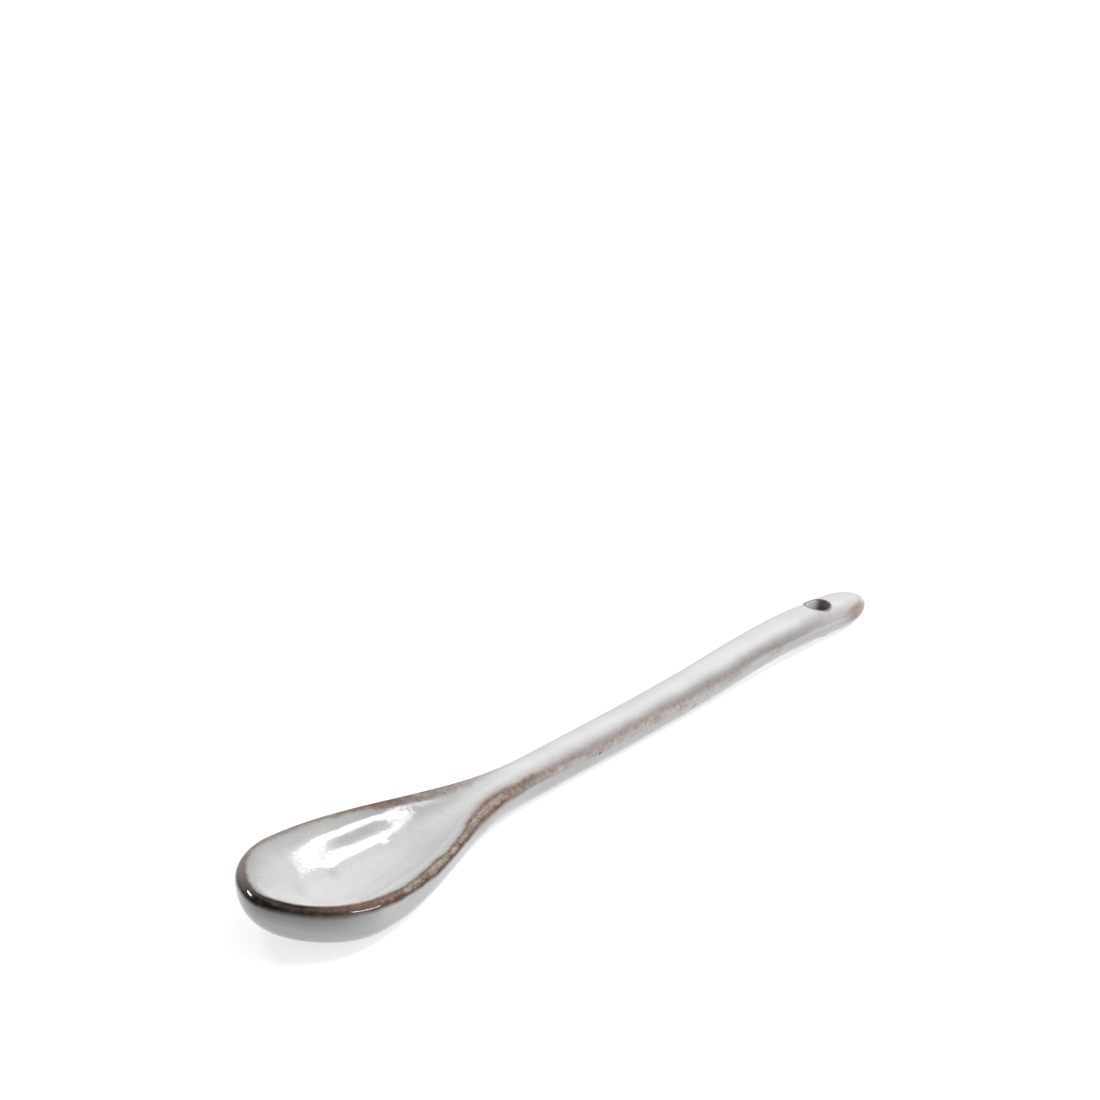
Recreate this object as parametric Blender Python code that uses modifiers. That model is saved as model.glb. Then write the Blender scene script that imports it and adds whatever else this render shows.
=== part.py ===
"""Stoneware coffee spoon: a fired clay body under three zones of fused glaze.

Metres, +Z up, +X from the bowl to the handle. The origin is on the table, under the middle of the spoon.
"""

import math

import bmesh
import bpy
import numpy as np

# Plan of the spoon, with distances along it measured from the tip of the bowl
LENGTH = 0.130
BOWL_WIDTH = 0.0240
TIP_TO_WIDEST = 0.0126
TIP_TO_THROAT = 0.0518
THROAT_WIDTH = 0.0058
HANDLE_END_WIDTH = 0.0067
END_ROUNDING = 0.0070
BOWL_ROUNDNESS = 1.8
NECK_TAPER = 1.08

# Height above the table of the edge line, which runs round the spoon where it is widest
EDGE_AT_TIP = 0.0079
EDGE_AT_WIDEST = 0.0066
EDGE_AT_THROAT = 0.0049
EDGE_AT_HANDLE_DIP = 0.0041
EDGE_AT_HANDLE_RISE = 0.0043
EDGE_AT_END = 0.0022
HANDLE_DIP_SHARE = 0.40
HANDLE_RISE_SHARE = 0.75

# Underside, below the edge line
FOOT_FLATTENING = 0.0001
TIP_TO_BELLY_END = 0.035
BELLY_AT_THROAT = 0.0048
BELLY_AT_END = 0.0031
BOWL_SECTION = 2.7
HANDLE_SECTION = 1.8

# Top, above the edge line
LIP_HALF_WIDTH = 0.00125
LIP_RISE = 0.0011
FLOOR_THICKNESS = 0.0024
HOLLOW_FADE_START = 0.026
HOLLOW_FADE_END = 0.054
HOLLOW_LIP_CURVE = 1.9
HOLLOW_FLOOR_CURVE = 3.2
CROWN_AT_THROAT = 0.00165
CROWN_AT_END = 0.00258
CROWN_SECTION = 2.6

# Hanging hole near the end of the handle
HOLE_DIAMETER = 0.0037
HOLE_FROM_END = 0.0115
HOLE_SIDE_COUNT = 32

# Glaze coat and the brown band along the edge line
GLAZE_THICKNESS = 0.0004
BOND_GAP = 0.0003
SEAM_GAP = 0.0003
BAND_INSIDE_BOWL = 0.0026
BAND_INSIDE_HANDLE = 0.0006
BAND_OUTSIDE_BOWL = 0.0009
BAND_OUTSIDE_HANDLE = 0.0004

# Steps of the surface along the outline and across it
FRONT_STEP_COUNT = 12
NECK_STEP_COUNT = 13
HANDLE_STEP_COUNT = 14
END_STEP_COUNT = 6
UNDERSIDE_ROW_COUNT = 7
BAND_OUTER_ROW_COUNT = 2
BAND_INNER_ROW_COUNT = 7
BODY_BAND_ROW_STRIDE = 3
UPPER_ROW_COUNT = 8
WELD_DISTANCE = 0.000001


def fade(share):
    """Ease from 0 to 1 with level ends."""
    share = np.clip(share, 0.0, 1.0)
    return share * share * (3.0 - 2.0 * share)


def smooth_curve(x, stations, heights):
    """Height at x on a smooth curve through the heights at the stations."""
    stations = np.array(stations)
    heights = np.array(heights)
    slopes = np.gradient(heights, stations)
    left = np.clip(np.searchsorted(stations, x) - 1, 0, len(stations) - 2)
    span = stations[left + 1] - stations[left]
    t = (x - stations[left]) / span
    start = (1 + 2 * t) * (1 - t) ** 2 * heights[left] + t * (1 - t) ** 2 * span * slopes[left]
    finish = t * t * (3 - 2 * t) * heights[left + 1] + t * t * (t - 1) * span * slopes[left + 1]
    return start + finish


def handle_half_width(x):
    share = (x - TIP_TO_THROAT) / (LENGTH - TIP_TO_THROAT)
    return 0.5 * (THROAT_WIDTH + (HANDLE_END_WIDTH - THROAT_WIDTH) * share)


def half_outline():
    """Points of the plan outline on one side, from the tip of the bowl to the end of the handle."""
    turn = np.linspace(0.0, math.pi / 2, FRONT_STEP_COUNT + 1)
    power = 2.0 / BOWL_ROUNDNESS
    front_x = TIP_TO_WIDEST * (1.0 - np.clip(np.cos(turn), 0.0, 1.0) ** power)
    front_y = 0.5 * BOWL_WIDTH * np.sin(turn) ** power

    share = np.linspace(0.0, 1.0, NECK_STEP_COUNT + 1)[1:]
    neck_x = TIP_TO_WIDEST + (TIP_TO_THROAT - TIP_TO_WIDEST) * share
    narrowing = 0.5 + 0.5 * np.cos(math.pi * share ** NECK_TAPER)
    neck_y = 0.5 * (THROAT_WIDTH + (BOWL_WIDTH - THROAT_WIDTH) * narrowing)

    end_start = LENGTH - END_ROUNDING
    handle_x = np.linspace(TIP_TO_THROAT, end_start, HANDLE_STEP_COUNT + 1)[1:]
    turn = np.linspace(0.0, math.pi / 2, END_STEP_COUNT + 1)[1:]
    end_x = end_start + END_ROUNDING * np.sin(turn)
    end_y = handle_half_width(end_x) * np.cos(turn)
    end_y[-1] = 0.0

    x = np.concatenate([front_x, neck_x, handle_x, end_x])
    y = np.concatenate([front_y, neck_y, handle_half_width(handle_x), end_y])
    return x, y


def edge_height(x):
    handle = LENGTH - TIP_TO_THROAT
    dip = TIP_TO_THROAT + HANDLE_DIP_SHARE * handle
    rise = TIP_TO_THROAT + HANDLE_RISE_SHARE * handle
    stations = [0.0, TIP_TO_WIDEST, TIP_TO_THROAT, dip, rise, LENGTH]
    bowl = [EDGE_AT_TIP, EDGE_AT_WIDEST, EDGE_AT_THROAT]
    shank = [EDGE_AT_HANDLE_DIP, EDGE_AT_HANDLE_RISE, EDGE_AT_END]
    return smooth_curve(x, stations, bowl + shank)


class Sections:
    """Half sections of the spoon, one for each point of the outline.

    A section runs from the outline to the middle line: straight across the neck and the handle, and in
    a fan round the middle of the bowl and round the end of the handle. A turn of 0 is the edge line and
    a quarter turn is the middle line.
    """

    def __init__(self):
        self.x, self.y = half_outline()
        end_start = LENGTH - END_ROUNDING
        self.foot_x = np.clip(self.x, TIP_TO_WIDEST, end_start)
        self.reach = np.hypot(self.foot_x - self.x, self.y)
        self.edge = edge_height(self.x)
        self.foot_edge = edge_height(self.foot_x)
        self.handle_share = fade((self.foot_x - HOLLOW_FADE_START) / (HOLLOW_FADE_END - HOLLOW_FADE_START))

        along = np.clip((self.foot_x - TIP_TO_BELLY_END) / (end_start - TIP_TO_BELLY_END), 0.0, 1.0)
        handle_belly = BELLY_AT_THROAT + (BELLY_AT_END - BELLY_AT_THROAT) * along
        run_out = np.clip((self.foot_x - TIP_TO_WIDEST) / (TIP_TO_BELLY_END - TIP_TO_WIDEST), 0.0, 1.0)
        bowl_share = 0.5 + 0.5 * np.cos(math.pi * run_out)
        bowl_belly = EDGE_AT_WIDEST + FOOT_FLATTENING
        self.belly = handle_belly + (bowl_belly - handle_belly) * bowl_share
        self.section = BOWL_SECTION + (HANDLE_SECTION - BOWL_SECTION) * fade(run_out)

        along = np.clip((self.foot_x - TIP_TO_THROAT) / (end_start - TIP_TO_THROAT), 0.0, 1.0)
        self.crown = CROWN_AT_THROAT + (CROWN_AT_END - CROWN_AT_THROAT) * along
        deepest = EDGE_AT_WIDEST + LIP_RISE - FLOOR_THICKNESS
        half_width = np.where(self.x < TIP_TO_WIDEST, 0.5 * BOWL_WIDTH, self.y)
        inside = (half_width - LIP_HALF_WIDTH) / (0.5 * BOWL_WIDTH - LIP_HALF_WIDTH)
        self.hollow = deepest * np.clip(inside, 0.0, 1.0)

    def blend(self, bowl_size, handle_size):
        return bowl_size + (handle_size - bowl_size) * self.handle_share

    def place(self, share, lift):
        """Points at a share of the way in from the outline, lifted off the edge line."""
        x = self.x + (self.foot_x - self.x) * share
        y = self.y * (1.0 - share)
        z = self.edge + (self.foot_edge - self.edge) * share + lift
        points = np.stack([x - 0.5 * LENGTH, y, np.maximum(z, 0.0)], axis=1)
        points[np.abs(points[:, 1]) < WELD_DISTANCE, 1] = 0.0
        return points

    def underside(self, turn):
        share = 1.0 - np.clip(np.cos(turn), 0.0, 1.0) ** (2.0 / self.section)
        return self.place(share, -self.belly * np.sin(turn) ** (2.0 / self.section))

    def turn_at_drop(self, drop):
        return np.arcsin((drop / self.belly) ** (0.5 * self.section))

    def upper(self, turn):
        share = 1.0 - np.clip(np.cos(turn), 0.0, 1.0)
        inward = self.reach * share
        lip = LIP_RISE * np.sqrt(1.0 - np.clip(1.0 - inward / LIP_HALF_WIDTH, 0.0, 1.0) ** 2)
        past_lip = np.clip((inward - LIP_HALF_WIDTH) / (self.reach - LIP_HALF_WIDTH), 0.0, 1.0)
        bowl = lip - self.hollow * (1.0 - (1.0 - past_lip ** HOLLOW_LIP_CURVE) ** HOLLOW_FLOOR_CURVE)
        handle = self.crown * (1.0 - (1.0 - share) ** CROWN_SECTION) ** (1.0 / CROWN_SECTION)
        return self.place(share, self.blend(bowl, handle))

    def turn_at_inset(self, inset):
        return np.arccos(1.0 - inset / self.reach)


def turns_between(first, last, count):
    return [first + (last - first) * step / (count - 1) for step in range(count)]


def glaze_zones():
    """Rows of points for each glaze zone, from the keel over the edge to the middle line on top."""
    sections = Sections()
    quarter = np.full(len(sections.x), math.pi / 2)
    outside = sections.blend(BAND_OUTSIDE_BOWL, BAND_OUTSIDE_HANDLE)
    inside = sections.blend(BAND_INSIDE_BOWL, BAND_INSIDE_HANDLE)

    under_turns = turns_between(quarter, sections.turn_at_drop(outside + SEAM_GAP), UNDERSIDE_ROW_COUNT)
    outer_turns = turns_between(sections.turn_at_drop(outside), 0.0 * quarter, BAND_OUTER_ROW_COUNT + 1)
    inner_turns = turns_between(0.0 * quarter, sections.turn_at_inset(inside), BAND_INNER_ROW_COUNT)
    upper_turns = turns_between(sections.turn_at_inset(inside + SEAM_GAP), quarter, UPPER_ROW_COUNT)

    underside = [sections.underside(turn) for turn in under_turns]
    band = [sections.underside(turn) for turn in outer_turns[:-1]]
    band += [sections.upper(turn) for turn in inner_turns]
    upper = [sections.upper(turn) for turn in upper_turns]
    return underside, band, upper


def principled(name, colour, roughness):
    material = bpy.data.materials.new(name)
    material.use_nodes = True
    shader = material.node_tree.nodes["Principled BSDF"]
    shader.inputs["Base Color"].default_value = (*colour, 1.0)
    shader.inputs["Roughness"].default_value = roughness
    shader.inputs["Metallic"].default_value = 0.0
    material.diffuse_color = (*colour, 1.0)
    return material


def lofted_half(name, rows, material, collection):
    """One half of a surface, lofted through the rows and mirrored on the spoon's middle plane."""
    surface = bmesh.new()
    grid = [[surface.verts.new(point) for point in row] for row in rows]
    for lower, higher in zip(grid, grid[1:]):
        for step in range(len(lower) - 1):
            surface.faces.new((lower[step], higher[step], higher[step + 1], lower[step + 1]))
    bmesh.ops.remove_doubles(surface, verts=surface.verts, dist=WELD_DISTANCE)
    mesh = bpy.data.meshes.new(name)
    surface.to_mesh(mesh)
    surface.free()
    mesh.shade_smooth()
    mesh.materials.append(material)
    piece = bpy.data.objects.new(name, mesh)
    collection.objects.link(piece)
    mirror = piece.modifiers.new("other_half", "MIRROR")
    mirror.use_axis = (False, True, False)
    mirror.merge_threshold = 2.0 * WELD_DISTANCE
    return piece


def sink(piece, depth):
    """Pull a closed surface inward."""
    inset = piece.modifiers.new("below_glaze", "DISPLACE")
    inset.strength = -depth
    inset.mid_level = 0.0


def thicken(piece, thickness):
    """Give an open surface its thickness on the inside."""
    coat = piece.modifiers.new("coat", "SOLIDIFY")
    coat.thickness = thickness
    coat.offset = -1.0


def hole_cutter(collection):
    handle_top = EDGE_AT_HANDLE_RISE + CROWN_AT_END
    bpy.ops.mesh.primitive_cylinder_add(
        vertices=HOLE_SIDE_COUNT,
        radius=0.5 * HOLE_DIAMETER,
        depth=2.0 * handle_top,
        location=(0.5 * LENGTH - HOLE_FROM_END, 0.0, 0.5 * handle_top),
    )
    cutter = bpy.context.object
    cutter.name = "hanging_hole_cutter"
    for owner in list(cutter.users_collection):
        owner.objects.unlink(cutter)
    collection.objects.link(cutter)
    cutter.hide_render = True
    cutter.display_type = "WIRE"
    return cutter


def bore(piece, cutter):
    cut = piece.modifiers.new("hanging_hole", "BOOLEAN")
    cut.operation = "DIFFERENCE"
    cut.object = cutter


def build():
    for item in list(bpy.data.objects):
        bpy.data.objects.remove(item)
    parts = bpy.data.collections.new("coffee_spoon")
    cutters = bpy.data.collections.new("coffee_spoon_cutters")
    bpy.context.scene.collection.children.link(parts)
    bpy.context.scene.collection.children.link(cutters)

    clay = principled("fired_clay", (0.36, 0.29, 0.24), 0.8)
    white_top = principled("white_glaze_top", (0.78, 0.79, 0.80), 0.12)
    white_under = principled("white_glaze_under", (0.70, 0.71, 0.72), 0.15)
    brown = principled("brown_glaze", (0.14, 0.09, 0.07), 0.15)
    cutter = hole_cutter(cutters)
    underside, band, upper = glaze_zones()

    edge_and_lip = band[BAND_OUTER_ROW_COUNT::BODY_BAND_ROW_STRIDE]
    body = lofted_half("stoneware_body", underside + edge_and_lip + upper, clay, parts)
    sink(body, GLAZE_THICKNESS + BOND_GAP)
    bore(body, cutter)
    coats = (
        ("underside_white_glaze", underside, white_under),
        ("brown_edge_glaze", band, brown),
        ("upper_white_glaze", upper, white_top),
    )
    for name, rows, material in coats:
        coat = lofted_half(name, rows, material, parts)
        thicken(coat, GLAZE_THICKNESS)
        bore(coat, cutter)


build()
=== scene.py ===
"""Looks of the stoneware coffee spoon: its glaze zones over the clay body, soft studio light and a camera."""

import math

import bmesh
import bpy
import numpy as np
from mathutils import Matrix, Vector, noise


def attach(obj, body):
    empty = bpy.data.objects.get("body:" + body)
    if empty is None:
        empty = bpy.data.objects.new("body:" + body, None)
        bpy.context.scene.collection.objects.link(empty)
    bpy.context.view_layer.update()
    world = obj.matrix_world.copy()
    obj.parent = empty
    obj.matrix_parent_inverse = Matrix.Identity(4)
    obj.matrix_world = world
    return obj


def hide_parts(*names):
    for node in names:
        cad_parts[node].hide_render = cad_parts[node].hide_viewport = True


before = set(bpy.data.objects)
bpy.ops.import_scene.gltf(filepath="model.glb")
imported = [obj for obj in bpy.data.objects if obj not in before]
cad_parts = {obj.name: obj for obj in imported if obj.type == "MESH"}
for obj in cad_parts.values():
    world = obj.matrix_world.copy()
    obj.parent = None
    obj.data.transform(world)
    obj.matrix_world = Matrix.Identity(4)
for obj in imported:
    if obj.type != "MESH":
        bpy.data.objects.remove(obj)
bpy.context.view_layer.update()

# Plan of the spoon, with distances along it measured from the tip of the bowl
LENGTH = 0.130
BOWL_WIDTH = 0.0240
TIP_TO_WIDEST = 0.0126
TIP_TO_THROAT = 0.0518
THROAT_WIDTH = 0.0058
HANDLE_END_WIDTH = 0.0067
END_ROUNDING = 0.0070
BOWL_ROUNDNESS = 1.8
NECK_TAPER = 1.08

# Height above the table of the edge line, at the tip, widest place, throat, handle and end
EDGE_HEIGHTS = (0.0079, 0.0066, 0.0049, 0.0041, 0.0043, 0.0022)
HANDLE_SHARES = (0.40, 0.75)

# Underside, below the edge line
FOOT_FLATTENING = 0.0001
TIP_TO_BELLY_END = 0.035
BELLY_AT_THROAT = 0.0048
BELLY_AT_END = 0.0031
BOWL_SECTION = 2.7
HANDLE_SECTION = 1.8

# Top, above the edge line
LIP_HALF_WIDTH = 0.00125
LIP_RISE = 0.0011
FLOOR_THICKNESS = 0.0024
HOLLOW_FADE = (0.026, 0.054)
HOLLOW_LIP_CURVE = 1.9
HOLLOW_FLOOR_CURVE = 3.2
CROWN_AT_THROAT = 0.00165
CROWN_AT_END = 0.00258
CROWN_SECTION = 2.6

# Hanging hole, and the glaze that rounds its mouths and runs a little way into it
HOLE_RADIUS = 0.00185
HOLE_FROM_END = 0.0115
GLAZE_IN_HOLE = 0.00025
MOUTH_ROUNDING_ENDS = 0.0006
MOUTH_ROUNDING_SIDES = 0.0003
MOUTH_MARGIN = 0.0002
MOUTH_BLEND_SHARE = 0.97
MOUTH_STEPS = 9
MOUTH_ACROSS_MM = 4.0

# Drop of the rounding and depth of the glaze, in the upper mouth (True) and the lower one (False)
MOUTH_DROPS = {True: 0.0014, False: 0.0002}
MOUTH_DEPTHS = {True: 0.0022, False: 0.0009}

# Brown in the upper mouth: a darker side of it that is painted shade in the hole, and a line round its edge
HOLE_SHADE_ANGLE = math.radians(-10.0)
HOLE_SHADE_COSINES = (0.4, 0.9)
HOLE_SHADE_LEAST = 0.02
HOLE_SHADE_STRENGTH = 0.9
MOUTH_LINE_TURNS = (0.45, 0.15)
MOUTH_LINE_STRENGTH = 0.9

# Glaze coat, and the turns from the edge line at which one glaze gives way to the next
GLAZE_THICKNESS = 0.0004
BAND_TURN_UNDER = math.radians(7.0)
BAND_TURN_UPPER = math.radians(36.0)

# Hand-made unevenness of the surface, which fades out towards the table
WAVE_HEIGHT = 0.00005
WAVE_LENGTH = 0.009
RIPPLE_HEIGHT = 0.000006
RIPPLE_LENGTH = 0.0022
EVEN_HEIGHT = 0.001

# Shallow dimples in the hollow: place in plan, and radius and strength of the grey cloud in each, which is
# painted shade
DIMPLE_DEPTH = 0.00011
DIMPLE_RADIUS = 0.0016
UPWARD_LEAST = 0.3
DIMPLES = (
    (-0.0537, 0.0033, 0.0017, 0.18),
    (-0.0477, 0.0036, 0.0016, 0.18),
    (-0.0600, 0.0030, 0.0015, 0.10),
)

# Soft crease along the far wall of the hollow
CREASE_START = Vector((-0.0462, 0.0066))
CREASE_STOP = Vector((-0.0368, 0.0052))
CREASE_HEIGHT = 0.00008
CREASE_WIDTH = 0.0010
CREASE_REACH = 0.0026
CREASE_END_FADE = 0.15

# Steps of the surface along the outline and across it
FRONT_STEPS = 72
NECK_STEPS = 96
HANDLE_STEPS = 120
HOLE_STEPS = 28
END_STEPS = 40
UNDER_STEPS = (5, 12, 24)
UPPER_STEPS = (40, 6, 42)
WELD_DISTANCE = 0.0000004
LEAST_LENGTH = 1e-9
MM_PER_METRE = 1000.0

# Lamps: azimuth from the view, elevation, width, height and roll in degrees, radiance and shape
LAMPS = (
    ("zenith", 60.0, 76.0, 56.0, 56.0, 0.0, 0.36, "RECTANGLE"),
    ("back", 14.0, 50.0, 44.0, 40.0, 0.0, 0.57, "RECTANGLE"),
    ("right_back", 45.0, 50.0, 45.0, 45.0, 0.0, 0.25, "RECTANGLE"),
    ("front_right", 122.0, 45.0, 40.0, 40.0, 0.0, 0.35, "RECTANGLE"),
    ("right_key", 96.0, 56.0, 27.5, 11.6, 34.0, 17.5, "ELLIPSE"),
    ("right_end", 82.0, 46.5, 6.0, 6.0, 0.0, 14.0, "ELLIPSE"),
    ("right_strip", 99.0, 67.0, 15.0, 4.0, -47.0, 15.0, "ELLIPSE"),
    ("left_key", -47.0, 41.0, 20.0, 5.0, 0.0, 28.0, "ELLIPSE"),
)
LAMP_DISTANCE = 0.8
WORLD_LEVEL = 0.2

# Floor: its size and grey, and the light that it adds towards the camera and in reflections
FLOOR_HALF_WIDTH = 3.0
FLOOR_GREY = 0.62
FLOOR_LIFT = 0.72

# Camera: its direction, and where the middle of the spoon lies off the centre of the picture
CAMERA_PITCH = math.radians(27.4255)
CAMERA_TURN = math.radians(46.4939)
CAMERA_DISTANCE = 0.39333
SPOON_RIGHT_OF_CENTRE = 0.00584
SPOON_BELOW_CENTRE = 0.02746
SPOON_MIDDLE_HEIGHT = 0.005
FOCAL_LENGTH = 87.633
SENSOR_WIDTH = 36.0
CLIP_START = 0.01

END_START = LENGTH - END_ROUNDING
HOLE_X = LENGTH - HOLE_FROM_END
MOUTH_RADIUS = HOLE_RADIUS - GLAZE_IN_HOLE + MOUTH_ROUNDING_ENDS + MOUTH_MARGIN
QUARTER = math.pi / 2


def linear(*levels):
    """A colour from its screen levels, 0 to 255."""
    shares = [level / 255.0 for level in levels]
    return tuple(s / 12.92 if s <= 0.04045 else ((s + 0.055) / 1.055) ** 2.4 for s in shares) + (1.0,)


# Glaze zones: piece, node it stands for, slot, refraction, height of the grain and range of roughness
GLAZES = (
    ("underside_glaze_coat", "underside_white_glaze", "white_glaze_under", 1.42, 0.000009, (0.04, 0.08)),
    ("brown_band_glaze_coat", "brown_edge_glaze", "brown_glaze", 1.45, 0.000006, (0.04, 0.08)),
    ("upper_glaze_coat", "upper_white_glaze", "white_glaze_top", 1.5, 0.000015, (0.1, 0.14)),
)

# Colours of the glaze
WHITE_DARKER = linear(226, 226, 226)
WHITE_LIGHTER = linear(234, 234, 234)
CLOUD_AND_SHADE_GREY = linear(132, 130, 130)
RIM_BROWN = linear(112, 82, 66)
GREEN_GREY = linear(160, 157, 143)
# Also used for the painted shade on one side of the hole
MOUTH_BROWN_AND_SHADE = linear(62, 46, 38)
STAIN_BROWN = linear(140, 122, 112)
PINHOLE_BROWN = linear(104, 96, 92)
SPECK_BLACK = linear(34, 27, 23)
FLECK_BROWN = linear(100, 68, 54)

# Colours of the band, from where the glaze ran thinnest to where it lies thicker, and of its fringes
BURNT_BLACK = linear(22, 12, 8)
BURNT_BROWN = linear(66, 42, 32)
RED_BROWN = linear(98, 68, 55)
DARK_BROWN = linear(118, 94, 81)
BAND_BROWN = linear(138, 112, 99)
NECK_BROWN = linear(150, 131, 119)
ROSE_BROWN = linear(176, 152, 145)
PALE_ROSE = linear(194, 171, 163)
GREY_BROWN = linear(146, 141, 139)
TAN = linear(154, 124, 101)
FRINGE_AND_SHADE_GREY = linear(128, 125, 124)
FRINGE_AND_SHADE_PALE = linear(150, 143, 142)
FRINGE_ROSE = linear(166, 149, 146)

# Fired clay: its colours, the sizes of its patches, specks and grain, and its roughness and relief
CLAY_DARKER = linear(176, 160, 146)
CLAY_LIGHTER = linear(198, 184, 170)
CLAY_SPECK = linear(112, 90, 76)
CLAY_PATCH_SIZE = 0.0008
CLAY_SPECK_SIZE = 0.0002
CLAY_SPECK_LEVELS = (0.66, 0.74, 0.0, 0.6)
CLAY_SHINE_SIZE = 0.0005
CLAY_ROUGHNESS = (0.7, 0.9)
CLAY_GRAIN_SIZE = 0.0003
CLAY_GRAIN_HEIGHT = 0.00005
CLAY_RELIEF = 0.4

# Sizes of the grain, clouds, patches, flecks and gaps in the glaze, and the middle range of a noise
GRAIN_SIZE = 0.00026
SHINE_SIZE = 0.002
CLOUD_SIZE = 0.004
PATCH_SIZE = 0.0010
FLECK_SIZE = 0.0007
MOTTLE_SIZE = 0.0003
GAP_SIZE = 0.0011
NOISE_MIDDLE = (0.3, 0.7)

# Painted shade in the bowl's hollow, a greyer white: where it sets in along the spoon and across it, in
# metres and millimetres
BOWL_SHADE_X = (-0.022, -0.036)
BOWL_SHADE_ACROSS_MM = (3.0, 6.0)
BOWL_SHADE_STRENGTH = 0.14

# Grey clouds in the white, those along the hollow's far wall being painted shade, and more beside the hole:
# place in plan, radius, strength
CLOUD_CORE = 0.1
CLOUDS_AND_SHADE = (
    (-0.0444, 0.0064, 0.0020, 0.22),
    (-0.0430, 0.0062, 0.0020, 0.22),
    (-0.0416, 0.0060, 0.0020, 0.24),
    (-0.0402, 0.0058, 0.0020, 0.22),
    (-0.0390, 0.0055, 0.0017, 0.16),
    (0.0478, -0.0020, 0.0014, 0.12),
    (0.0495, -0.0021, 0.0015, 0.20),
    (0.0512, -0.0021, 0.0015, 0.22),
    (0.0530, -0.0023, 0.0014, 0.16),
)

# Specks of iron in the glaze: place and radius
SPECKS = (
    ((-0.0009, -0.0028, 0.0038), 0.00030),
    ((0.0206, -0.00285, 0.00285), 0.00028),
    ((0.0201, -0.00283, 0.00277), 0.00024),
)

# Scattered pinholes, with where they grow more and less along the bowl, and how many of them are kept
PINHOLE_SPACING = 0.00048
PINHOLE_RADIUS = 0.000075
PINHOLES_MORE_X = (-0.058, -0.044)
PINHOLES_LESS_X = (-0.008, -0.024)
PINHOLES_IN_BOWL = 0.6
PINHOLES_ELSEWHERE = 0.15

# Full part of a speck's or pinhole's radius, and its strength
SPOT_CORE = 0.5
SPOT_STRENGTH = 0.85

# Brown of the hole's mouth, partly painted shade, and the stain round it: its reach and full part past the
# hole, and its fades
MOUTH_STRENGTH = 0.95
STAIN_REACH = 0.0008
STAIN_CORE = 0.0001
STAIN_STRENGTH = 0.5
STAIN_ACROSS_MM = (0.5, 1.0)
STAIN_WALL_FADE = 0.00002

# Brown band at places along the outline, in millimetres from the tip, on the near side and the far side
OUTLINE_RUN = 140.0

# Inner and outer borders of the band, in millimetres from the edge line, and the range that holds them
LIMIT_RANGE = 6.0
LIMIT_SHIFT = 2.0
NEAR_INNER = (
    (0, 2.4), (5, 3.0), (10, 3.4), (14, 3.6), (17, 3.1), (20, 2.5), (26, 2.2), (31, 2.6), (36, 2.2),
    (40, 2.4), (44, 3.2), (47, 3.0), (51, 2.4), (55, 1.6), (60, 1.3), (72, 1.1), (100, 1.2), (118, 0.9),
    (127, 1.0), (133, 1.7), (138.5, 1.4),
)
FAR_INNER = (
    (0, 2.4), (8, 2.1), (20, 2.2), (30, 2.6), (36, 2.9), (41, 3.3), (50, 3.3), (55, 2.2), (60, 1.0),
    (130, 1.0), (138.5, 1.4),
)
NEAR_OUTER = (
    (0, 0.3), (30, 0.3), (36, 0.5), (43, 0.6), (49, 0.3), (54, -0.4), (60, -0.4), (72, -0.9), (100, -0.7),
    (118, -0.4), (127, -0.5), (133, -1.0), (138.5, -0.8),
)
FAR_OUTER = ((0, 0.3), (49, 0.3), (54, -0.5), (72, -0.8), (118, -0.4), (130, -0.4), (138.5, -0.8))

# Strength of the band, and of the grey green in it
NEAR_STRENGTH = (
    (0, 1.0), (49, 1.0), (55, 0.9), (60, 0.75), (66, 0.6), (72, 0.7), (84, 0.78), (100, 0.68), (109, 0.42),
    (114, 0.58), (119, 0.25), (126, 0.05), (129, 0.15), (132, 0.85), (135, 0.8), (138.5, 0.35),
)
FAR_STRENGTH = (
    (0, 1.0), (8, 0.7), (20, 0.62), (28, 0.7), (36, 1.0), (46, 0.85), (50, 0.65), (56, 0.2), (100, 0.3),
    (126, 0.05), (133, 0.15), (138.5, 0.35),
)
NEAR_GREEN = (
    (0, 0.0), (18, 0.0), (22, 0.85), (41, 0.85), (44, 0.5), (47, 0.6), (49, 0.8), (53, 0.4), (57, 0.0),
)
FAR_GREEN = (
    (0, 0.0), (18, 0.0), (23, 0.55), (30, 0.55), (34, 0.1), (39, 0.1), (42, 0.55), (46, 0.3), (52, 0.0),
)

# Strength, reach and colour of the fringes inside and outside the band, partly glaze colour, partly painted
# shade
NEAR_FRINGE_AND_SHADE_INSIDE = (
    (0, 0.45), (9, 0.4), (20, 0.25), (24, 0.35), (40, 0.45), (44, 0.95), (48, 0.9), (52, 0.65),
    (60, 0.75), (112, 0.82), (119, 0.75), (126, 0.4), (138.5, 0.2),
)
FAR_FRINGE_AND_SHADE_INSIDE = (
    (0, 0.45), (12, 0.6), (22, 0.65), (40, 0.6), (48, 0.4), (56, 0.1), (130, 0.1), (138.5, 0.2),
)
NEAR_FRINGE_REACH = ((0, 0.3), (24, 0.3), (46, 0.28), (56, 0.3), (66, 0.42), (140, 0.42))
FAR_FRINGE_REACH = ((0, 0.4), (10, 0.7), (40, 0.7), (50, 0.4))
# Outside the band the fringe is partly painted shade, on the outer wall below the lip and along the neck
NEAR_FRINGE_AND_SHADE_OUTSIDE = (
    (0, 0.62), (12, 0.62), (16, 0.4), (20, 0.12), (38, 0.15), (44, 0.6), (50, 0.45), (57, 0.1),
)
FAR_FRINGE_AND_SHADE_OUTSIDE = ((0, 0.62), (12, 0.35), (20, 0.1))
NEAR_FRINGE_COLOUR = (
    (0, FRINGE_AND_SHADE_GREY), (24, FRINGE_AND_SHADE_GREY), (38, FRINGE_AND_SHADE_PALE), (44, FRINGE_ROSE), (54, FRINGE_ROSE),
    (62, FRINGE_AND_SHADE_PALE),
)
FAR_FRINGE_COLOUR = ((0, FRINGE_AND_SHADE_GREY), (50, FRINGE_AND_SHADE_GREY))

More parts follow.
